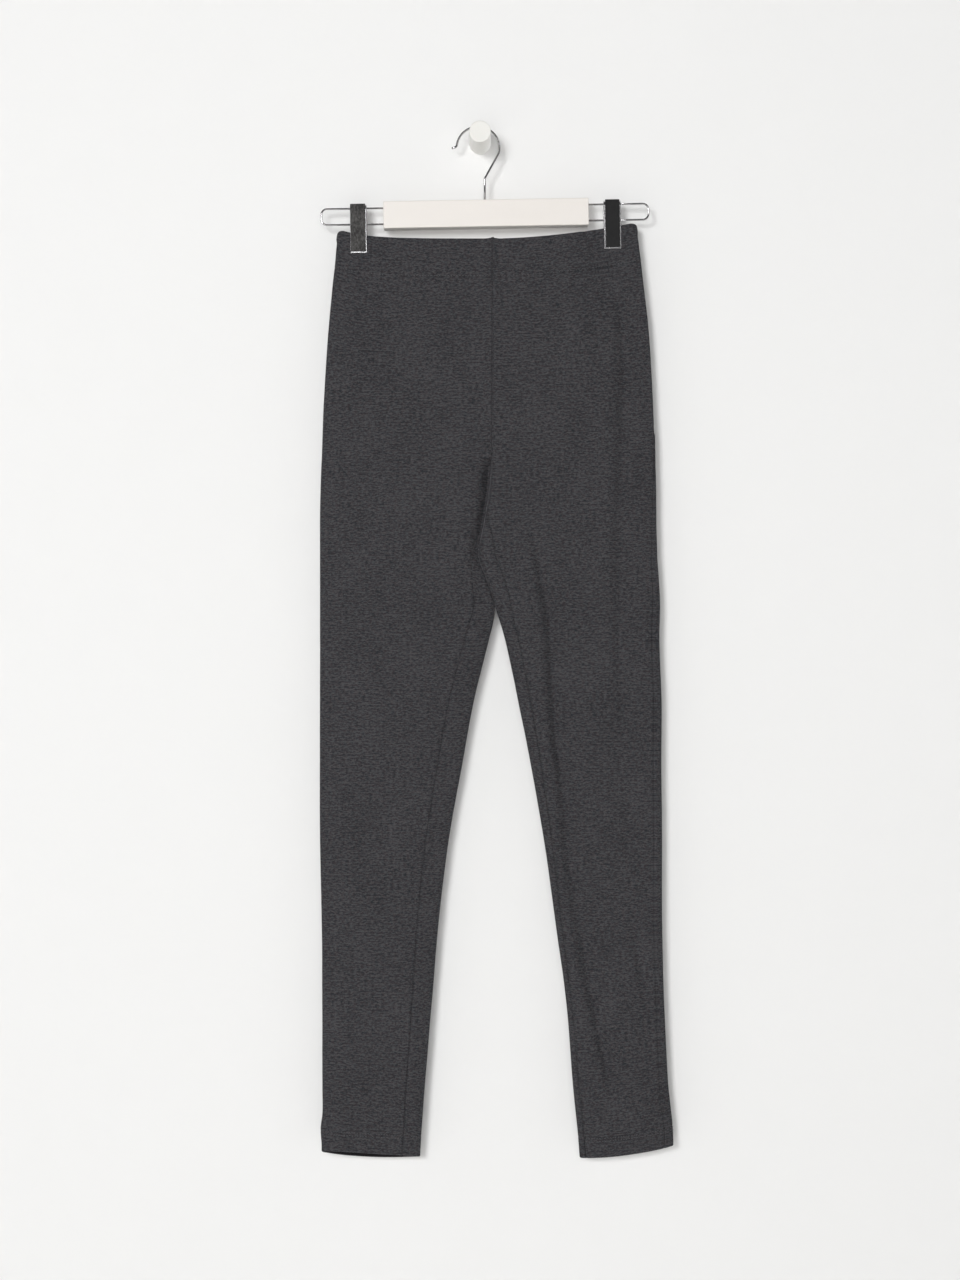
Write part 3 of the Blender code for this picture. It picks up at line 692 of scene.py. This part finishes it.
# Creases left by hanging and by the way the cloth was folded.  x is the bottom of a trough;
# left and right are how wide its two sides are; a depth below 0 is a ridge.
Crease = namedtuple("Crease", "z x depth left right")
CREASE_TABLES = {
    ("left", True): (
        ((-334, 9.6, 0, 6, 3), (-341, 9.4, 5, 7, 3), (-356, 9.2, 6.4, 7.6, 3),
         (-376, 7.4, 6.6, 7.6, 3), (-400, 3.8, 6.6, 7.8, 2.6), (-425, -1.6, 5, 8, 3),
         (-450, -4, 3.4, 9, 6), (-480, 3, 3, 11, 7), (-510, 7, 1.4, 11, 7), (-535, 4, 0, 9, 7)),
        ((-350, -62, 0, 7, 9), (-430, -61, 0.8, 7, 9), (-510, -59, 0.7, 7, 9),
         (-590, -58, 0, 7, 9)),
        ((-150, -96, 0, 12, 10), (-230, -104, 0.5, 14, 12), (-330, -110, 0.3, 14, 12),
         (-420, -112, 0, 14, 12)),
        ((-640, -118, 0, 14, 12), (-760, -112, 0.45, 14, 12), (-900, -104, 0.35, 14, 12),
         (-1000, -98, 0, 14, 12)),
    ),
    ("right", True): (
        ((-396, 50.5, 0, 4.8, 12), (-429, 58.5, 3.4, 4.8, 12), (-470, 66.6, 5.8, 5.2, 12),
         (-505, 72.6, 6.9, 5.8, 12), (-568, 76.8, 7.6, 6.4, 12), (-631, 81, 7.6, 6.4, 12),
         (-662, 85.4, 7.4, 6.2, 12), (-694, 88.4, 6.8, 7, 12), (-757, 94.4, 6.3, 7.6, 12.5),
         (-799, 100.8, 6.1, 7.6, 12.5), (-851, 109.4, 6.1, 7.6, 12.5), (-893, 117, 5.6, 7, 12),
         (-925, 123.6, 5.3, 6, 11), (-967, 132.8, 4.5, 5.5, 10), (-1003, 142, 0, 5, 9)),
        ((-112, 139, 0, 7, 26), (-137, 143, 4, 7.5, 28), (-190, 150.5, 6.1, 8.5, 32),
         (-253, 152, 6.9, 9, 34), (-316, 150.5, 6.8, 9, 34), (-379, 149, 6.1, 9.5, 36),
         (-526, 149, 5.8, 10, 36), (-590, 151.5, 4, 11, 30), (-650, 154, 0, 12, 24)),
        ((-565, 150, 0, 14, 16), (-650, 152, 2.8, 13, 15), (-720, 154, 2.4, 13, 15),
         (-790, 156, 0, 12, 14)),
        ((-810, 158, 0, 4.5, 8), (-845, 163.5, 2.8, 4.5, 8), (-885, 170, 2.5, 4.5, 8),
         (-932, 176, 0, 4.5, 8)),
        ((-134, 101.5, 0, 3.5, 5), (-146, 101, 1.9, 3.5, 5), (-165, 98.8, 1.6, 3.5, 5),
         (-186, 97.4, 0, 3.5, 5)),
        ((-98, 107, 0.3, 3, 4), (-106, 110.2, 1.7, 3, 4), (-120, 116, 1.7, 3, 4),
         (-134, 120.5, 0, 3, 4)),
        ((-98, 20.5, 0.6, 3.5, 4.5), (-115, 20.5, 1, 3.5, 4.5), (-150, 20, 0.4, 3.5, 4.5),
         (-170, 20, 0, 3.5, 4.5)),
        ((-985, 196.5, 0, 4, 6), (-1006, 195, 2, 4, 6), (-1024, 193, 0, 4, 6)),
    ),
    ("left", False): (
        ((-360, -40, 0, 12, 5), (-450, -52, 1.5, 12, 5), (-570, -66, 1.7, 13, 5),
         (-700, -82, 1, 12, 7), (-830, -96, 0, 11, 7)),
        ((-150, -112, 0.3, 16, 6), (-240, -121, 1.3, 17, 6), (-380, -126, 1.1, 16, 7),
         (-500, -124, 0, 15, 8)),
        ((-770, -132, 0, 8, 4), (-850, -126, 0.9, 8, 4), (-960, -116, 0.6, 8, 4),
         (-1010, -112, 0, 8, 4)),
    ),
    ("right", False): (
        ((-340, 44, 0, 5, 13), (-430, 58, 1.4, 5, 13), (-560, 80, 1.8, 5, 14),
         (-720, 104, 1.3, 6, 13), (-880, 128, 0.6, 7, 12), (-960, 138, 0, 7, 12)),
        ((-128, 122, 0.3, 6, 15), (-210, 131, 1.2, 6, 17), (-340, 138, 1.3, 6, 18),
         (-470, 136, 0, 7, 16)),
        ((-640, 152, 0, 9, 10), (-760, 160, 0.9, 9, 10), (-900, 170, 0, 8, 9)),
    ),
}
CREASES = {panel: [[Crease(*row) for row in table] for table in tables]
           for panel, tables in CREASE_TABLES.items()}


def smooth_step(start, end, value):
    """0 at start, 1 at end, and a smooth climb between them."""
    part = min(max((value - start) / (end - start), 0.0), 1.0)
    return part * part * (3.0 - 2.0 * part)


def read_curve(rows, column, level):
    """A smooth curve through one column of a table whose rows run from high z to low z."""
    last = len(rows) - 1
    if level >= rows[0].z:
        return getattr(rows[0], column)
    if level <= rows[last].z:
        return getattr(rows[last], column)
    low = next(i for i in range(1, last + 1) if rows[i].z <= level)
    high = low - 1

    def slope(i):
        before, after = rows[max(i - 1, 0)], rows[min(i + 1, last)]
        return (getattr(after, column) - getattr(before, column)) / (after.z - before.z)

    span = rows[low].z - rows[high].z
    part = (level - rows[high].z) / span
    square, cube = part * part, part ** 3
    return ((2 * cube - 3 * square + 1) * getattr(rows[high], column)
            + (cube - 2 * square + part) * span * slope(high)
            + (3 * square - 2 * cube) * getattr(rows[low], column)
            + (cube - square) * span * slope(low))


def edge_rise(distance, width):
    """Rounding of a folded edge: 0 on the fold, 1 a width away from it."""
    rest = 1.0 - min(max(distance, 0.0) / width, 1.0)
    return math.sqrt(max(1.0 - rest * rest, 0.0))


class Level:
    """One level of a leg: what its tables say there, read once for the whole row."""

    def __init__(self, half, is_front, z, inset=0.0, behind=None):
        self.half, self.is_front, self.z, self.inset = half, is_front, z, inset
        if behind is None:
            # below the casing the panel eases away from the room that its inner layer needs
            behind = CASING_DEEP * (1.0 - smooth_step(-146.0, -205.0, z))
        self.spare = LEAST_HALF_DEPTH + behind
        self.valley = min(max(read_curve(OUTLINE, "valley", z), 0.0), 1.0)
        self.outer = read_curve(OUTLINE, half.name + "_outer", z) + half.direction * inset
        self.inner = (read_curve(OUTLINE, half.name + "_inner", z)
                      - half.direction * (0.03 + inset * self.valley))
        self.full = read_curve(OUTLINE, "half_depth", z)
        self.round_outer = read_curve(ROUNDINGS, "outer", z)
        self.round_inner = read_curve(ROUNDINGS, half.name + "_inner", z)
        self.pinch = 1.0 - smooth_step(-150.0, -230.0, z)
        self.rise = half.rise * (1.0 - smooth_step(-142.0, -290.0, z))
        self.top = smooth_step(-122.0, -104.0, z)
        self.low = smooth_step(-850.0, -1057.0, z)
        width = abs(self.inner - self.outer)
        side = max(read_curve(SEAMS, half.name + "_side", z), 0.0)
        inseam = max(read_curve(SEAMS, half.name + "_inseam", z), 0.0)
        self.side = math.acos(1.0 - 2.0 * side / width) / math.pi
        self.inseam = math.acos(2.0 * inseam / width - 1.0) / math.pi
        self.start = self.side if is_front else 2.0 + self.side
        self.creases = {
            faces_front: [[read_curve(crease, column, z) for column in Crease._fields[1:]]
                          for crease in CREASES[half.name, faces_front]
                          if crease[-1].z < z < crease[0].z]
            for faces_front in (True, False)}

    def point(self, turn):
        """A point of the smooth tube.  turn runs 0 to 1 over the front, and to 2 over the back."""
        across = 0.5 - 0.5 * math.cos(math.pi * turn)
        x = self.outer + (self.inner - self.outer) * across
        pinch = self.pinch * math.exp(-((x - self.half.clip_x) / PINCH_REACH) ** 2)
        full = self.full + (PINCHED - self.full) * pinch
        depth = (full - self.inset) * edge_rise(abs(x - self.outer), self.round_outer)
        depth *= 1.0 - self.valley * (1.0 - edge_rise(abs(self.inner - x), self.round_inner))
        y = -depth if math.sin(math.pi * turn) > 0.0 else depth
        rise = self.rise * (1.0 - across) ** self.half.rise_power
        hang = (self.half.hem_hang
                + self.half.hem_drop * (1.0 - (1.0 - across) ** self.half.hem_power))
        flat, bowed, tapered = self.half.back_drops
        back = flat + bowed * math.sin(math.pi * across) + tapered * across ** 2
        hang += back * (0.5 + 0.5 * y / full)
        corner = max(1.0 - abs(x - self.outer) / CORNER[0], 0.0)
        rise -= self.top * CORNER[1] * (1.0 - math.sqrt(1.0 - corner * corner))
        rise += self.top * SEAM_BUMP * math.exp(-((x - self.inner) / BUMP_WIDE) ** 2)
        return Vector((x, CLOTH_Y + y, self.z + rise - self.low * hang))

    def columns(self, count):
        """Turns and distances of a row's points, closest together on folds and at seams."""
        fine = 260
        turns = [self.start + (self.inseam - self.start) * i / fine for i in range(fine + 1)]
        path = [0.0]
        points = [self.point(turn) for turn in turns]
        for near, far in zip(points, points[1:]):
            path.append(path[-1] + (far - near).length)
        total = path[-1]

        def measure(i):
            away, left = path[i], total - path[i]
            seam = 0.5 * (1.0 - math.exp(-away / 2.0) + math.exp(-left / 2.0))
            return 0.5 * away / total + 0.44 * i / fine + 0.06 * seam

        marks = [measure(i) for i in range(fine + 1)]
        row, i = [], 0
        for j in range(count + 1):
            target = marks[0] + (marks[-1] - marks[0]) * j / count
            while i < fine - 1 and marks[i + 1] < target:
                i += 1
            part = min(max((target - marks[i]) / (marks[i + 1] - marks[i]), 0.0), 1.0)
            row.append((turns[i] + (turns[i + 1] - turns[i]) * part,
                        path[i] + (path[i + 1] - path[i]) * part, total))
        return row

    def crease(self, place):
        """A point of the tube moved in towards its middle by the creases there."""
        sink = 0.0
        faces_front = place.y < CLOTH_Y
        for middle, depth, left, right in self.creases[faces_front]:
            away = (place.x - middle) / (left if place.x < middle else right)
            sink += depth * math.exp(-away * away)
        half_depth = abs(place.y - CLOTH_Y)
        sink = min(sink, max(half_depth - self.spare, 0.0))
        return Vector((place.x, place.y + (sink if faces_front else -sink), place.z))

    def relief(self, x, from_side, from_inner):
        """How far the real cloth stands out from the creased tube, or in if below 0."""
        seed = 3.0 * self.half.direction + (11.0 if self.is_front else 29.0)
        height = sum(loose * noise.noise(Vector((x / across, self.z / down, seed + more)))
                     for loose, across, down, more in LOOSENESS)
        centre = smooth_step(-400.0, -340.0, self.z)
        shown_from = INSEAM_SHOWN[self.half.name]
        hidden = (smooth_step(-318.0, -338.0, self.z)
                  * (1.0 - smooth_step(shown_from, shown_from - 30.0, self.z)))
        deep = (SEAM_SUNK + (CENTRE_SUNK - SEAM_SUNK) * centre) * (1.0 - hidden)
        height += seam_relief(from_side, SIDE_SEAM[self.half.name]) + seam_relief(from_inner, deep)
        for stitched in (CASING_FOOT, HEM_TOP):
            height -= STITCHED_IN * math.exp(-(self.z - stitched) ** 2)
        return height


def seam_relief(distance, deep):
    """A seam's edge turns in, beside the low ridge of the turnings behind it."""
    height, away, wide = TURNINGS
    return (height * math.exp(-((distance - away) / wide) ** 2)
            - deep * math.exp(-(distance / SEAM_WIDE) ** 2))


def graded(top, foot, count):
    """Levels from top to foot, a little closer together at the two ends."""
    steps = [0.5, 0.7, 1.0, 1.4, 2.0]
    even = (top - foot - 2.0 * sum(steps)) / (count - 2 * len(steps))
    steps = steps + [even] * (count - 2 * len(steps)) + steps[::-1]
    levels = [top]
    for step in steps:
        levels.append(levels[-1] - step)
    return levels[:-1] + [foot]


def sew_sheet(name, half, is_front, profile, columns, relief=None):
    """A sheet of jersey laid on one side of a leg.

    profile has a (level, inset) for each row, from the top or outside to the foot or inside.
    """
    rows = len(profile) - 1
    deepest = max(inset for _, inset in profile)
    mesh = bmesh.new()
    bmesh.ops.create_grid(mesh, x_segments=columns, y_segments=rows, size=1.0)
    grid = {}
    for vert in mesh.verts:
        j = round((vert.co.x + 1.0) * 0.5 * columns)
        i = rows - round((vert.co.y + 1.0) * 0.5 * rows)
        grid[i, j] = vert
    uv_layer = mesh.loops.layers.uv.new("cloth")
    uvs, raised = {}, {}
    down, before = 0.0, profile[0]
    for i, (z, inset) in enumerate(profile):
        level = Level(half, is_front, z, inset, deepest - inset if deepest > 0.0 else None)
        down += math.hypot(z - before[0], inset - before[1])
        before = (z, inset)
        for j, (turn, away, total) in enumerate(level.columns(columns)):
            vert = grid[i, j]
            vert.co = level.crease(level.point(turn))
            uvs[vert] = ((away + 300.0 * half.direction) * MM, -down * MM)
            height = level.relief(vert.co.x, away, total - away)
            if relief:
                height += relief(vert.co.x, z, inset)
            raised[vert] = height * max(0.0, 1.0 - inset / FLAT_BY)
    mesh.normal_update()
    if (sum(grid[0, j].normal.y for j in range(columns // 3, 2 * columns // 3)) > 0.0) == is_front:
        bmesh.ops.reverse_faces(mesh, faces=mesh.faces[:])
        mesh.normal_update()
    # Faces of the inner layer of a turned edge take the darker finish, as painted shade.
    shaded_inner_rows = {vert for (i, j), vert in grid.items()
                  if deepest > 0.0 and profile[i][1] > 0.75 * deepest}
    for face in mesh.faces:
        face.material_index = 1 if all(vert in shaded_inner_rows for vert in face.verts) else 0
    shifts = {vert: vert.normal * raised[vert] for vert in mesh.verts}
    for vert, shift in shifts.items():
        vert.co = (vert.co + shift) * MM
    for face in mesh.faces:
        for loop in face.loops:
            loop[uv_layer].uv = uvs[loop.vert]
    sheet = link_mesh(name, mesh, jersey)
    sheet.data.materials.append(jersey_inside_shade.material)
    wall = sheet.modifiers.new("cloth", "SOLIDIFY")
    wall.thickness = JERSEY * MM
    wall.offset = -1.0
    return sheet


LENGTH_NAMES = ("waist", "seat", "thigh", "knee", "shin")
SIDES = [(half, side) for half in HALVES for side in ("front", "back")]
# the flat size of each cut panel, and its area: left front and back, then right front and back
PANEL_CUTS = (((0.184, 0.891), 0.1230), ((0.215, 0.891), 0.1565),
              ((0.191, 0.891), 0.1172), ((0.222, 0.891), 0.1496))
for (half, side), (flat, area) in zip(SIDES, PANEL_CUTS):
    is_front = side == "front"
    rows, columns = (300, 150) if is_front else (230, 110)
    profile = [(z, 0.0) for z in graded(CASING_FOOT, HEM_TOP, rows)]
    panel = sew_sheet(side + "_" + half.name, half, is_front, profile, columns)
    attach(panel, "root")
    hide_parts(*[f"{side}_{half.name}_{length}" for length in LENGTH_NAMES])

# ---- Waist casing -------------------------------------------------------------------------
# The tops of the panels are turned down over soft elastic and stitched through.  The elastic
# draws the cloth into fine upright puckers just above the stitches.
CASING_CUTS = (((0.168, 0.083), 0.0136), ((0.185, 0.083), 0.0147),
               ((0.159, 0.083), 0.0128), ((0.176, 0.083), 0.0139))
FOLD_STEPS = 10
PUCKER, PUCKER_SPACING = 0.60, 3.5


def turned_edge(fold, stitched, deep):
    """Rows of a turned edge: down the outside from the stitches, round the fold, and back."""
    radius = 0.5 * deep
    side = 1.0 if fold > stitched else -1.0
    straight = abs(fold - stitched) - radius
    steps = [0.0, 0.5, 1.1, 1.9, 2.9] + [2.9 + (straight - 2.9) * i / 24 for i in range(1, 25)]
    rows = [(stitched + side * step, 0.0) for step in steps]
    for i in range(1, FOLD_STEPS):
        angle = math.pi * i / FOLD_STEPS
        rows.append((fold - side * radius * (1.0 - math.sin(angle)),
                     radius * (1.0 - math.cos(angle))))
    rows += [(stitched + side * straight * (1.0 - i / 12), deep) for i in range(13)]
    return rows


def waist_relief(x, z, inset):
    """Puckers above the stitches, and the roll under the top edge."""
    drawn = 0.35 + 0.65 * math.exp(-((x - 30.0) / 34.0) ** 2)
    uneven = 0.6 + 0.8 * noise.noise(Vector((x / 9.0, 4.0, 0.5)))
    wander = 1.6 * noise.noise(Vector((x / 12.0, z / 9.0, 7.5)))
    upright = math.sin(2.0 * math.pi * (x / PUCKER_SPACING) + wander)
    above = smooth_step(CASING_FOOT, CASING_FOOT + 3.0, z) * (1.0 - smooth_step(-136.0, -129.0, z))
    roll = 0.45 * math.exp(-((z + 112.5) / 4.5) ** 2) - 0.35 * math.exp(-((z + 120.0) / 4.0) ** 2)
    return PUCKER * drawn * uneven * upright * above + roll


for (half, side), (flat, area) in zip(SIDES, CASING_CUTS):
    casing = sew_sheet(f"casing_{side}_{half.name}_turned", half, side == "front",
                       turned_edge(CASING_TOP, CASING_FOOT, CASING_DEEP), 190, waist_relief)
    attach(casing, "root")
    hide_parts(f"casing_{side}_{half.name}")

# ---- Hems ---------------------------------------------------------------------------------
# The feet of the panels are turned up inside and held by two rows of stitches.  The tube stays
# open, and the back of the left hem hangs a little below the front.
HEM_DEEP = 2.4
HEM_CUTS = (((0.089, 0.045), 0.0038), ((0.131, 0.045), 0.0056),
            ((0.084, 0.045), 0.0036), ((0.122, 0.045), 0.0052))
for (half, side), (flat, area) in zip(SIDES, HEM_CUTS):
    hem = sew_sheet(f"hem_{side}_{half.name}_turned", half, side == "front",
                    turned_edge(HEM_FOOT, HEM_TOP, HEM_DEEP), 110)
    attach(hem, "root")
    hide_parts(f"hem_{side}_{half.name}")

# ---- Stitches -----------------------------------------------------------------------------
# Dark grey polyester thread: one row of machine stitches along the foot of the casing, and a
# twin row round each hem.  Each stitch is pressed a little into the cloth.
THREAD_TONES = ((0.030, 0.029, 0.032), (0.052, 0.050, 0.055))
THREAD_WIDE, THREAD_HIGH, PROUD = 0.44, 0.52, 0.16
StitchRow = namedtuple("StitchRow", "name z pitch length")
STITCH_ROWS = (
    StitchRow("casing", CASING_FOOT + 1.2, 3.0, 2.3),
    StitchRow("hem_upper", HEM_TOP - 1.2, 2.8, 2.1),
    StitchRow("hem_lower", HEM_TOP - 4.4, 2.8, 2.1),
)
thread_finish = Finish("thread", THREAD_TONES[0], 0.55, Sheen_Weight=0.2)
twist = thread_finish.noise((2600.0, 2600.0, 2600.0), detail=1.0)
thread_finish.feed(Base_Color=thread_finish.blend(twist, *THREAD_TONES),
                   Roughness=0.45 + 0.2 * twist)


def sew_stitches(name, half, is_front, row):
    """A row of stitches along one level of a panel, joined in one piece."""
    level = Level(half, is_front, row.z)
    stations = level.columns(320)
    mesh = bmesh.new()
    due = 0.5 * row.pitch
    for (turn, away, total), (next_turn, next_away, _) in zip(stations, stations[1:]):
        while away <= due < next_away and due < total - 0.5 * row.pitch:
            share = (due - away) / (next_away - away)
            place = level.point(turn + (next_turn - turn) * share)
            along = (level.point(next_turn) - level.point(turn)).normalized()
            out = Vector((along.y, -along.x, 0.0)).normalized()
            if (out.y > 0.0) == is_front:
                out = -out
            place = level.crease(place) + out * (level.relief(place.x, due, total - due) + PROUD)
            frame_turn = Matrix((along, out, along.cross(out))).transposed().to_4x4()
            shape = Matrix.Diagonal((0.5 * row.length, 0.5 * THREAD_WIDE, 0.5 * THREAD_HIGH, 1.0))
            bmesh.ops.create_icosphere(mesh, subdivisions=1, radius=1.0,
                                       matrix=Matrix.Scale(MM, 4) @ Matrix.Translation(place)
                                       @ frame_turn @ shape)
            due += row.pitch
    bmesh.ops.recalc_face_normals(mesh, faces=mesh.faces)
    return link_mesh(name, mesh, thread_finish)


for row in STITCH_ROWS:
    for half, side in SIDES:
        stitches = sew_stitches(f"stitches_{row.name}_{side}_{half.name}", half,
                                side == "front", row)
        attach(stitches, "root")
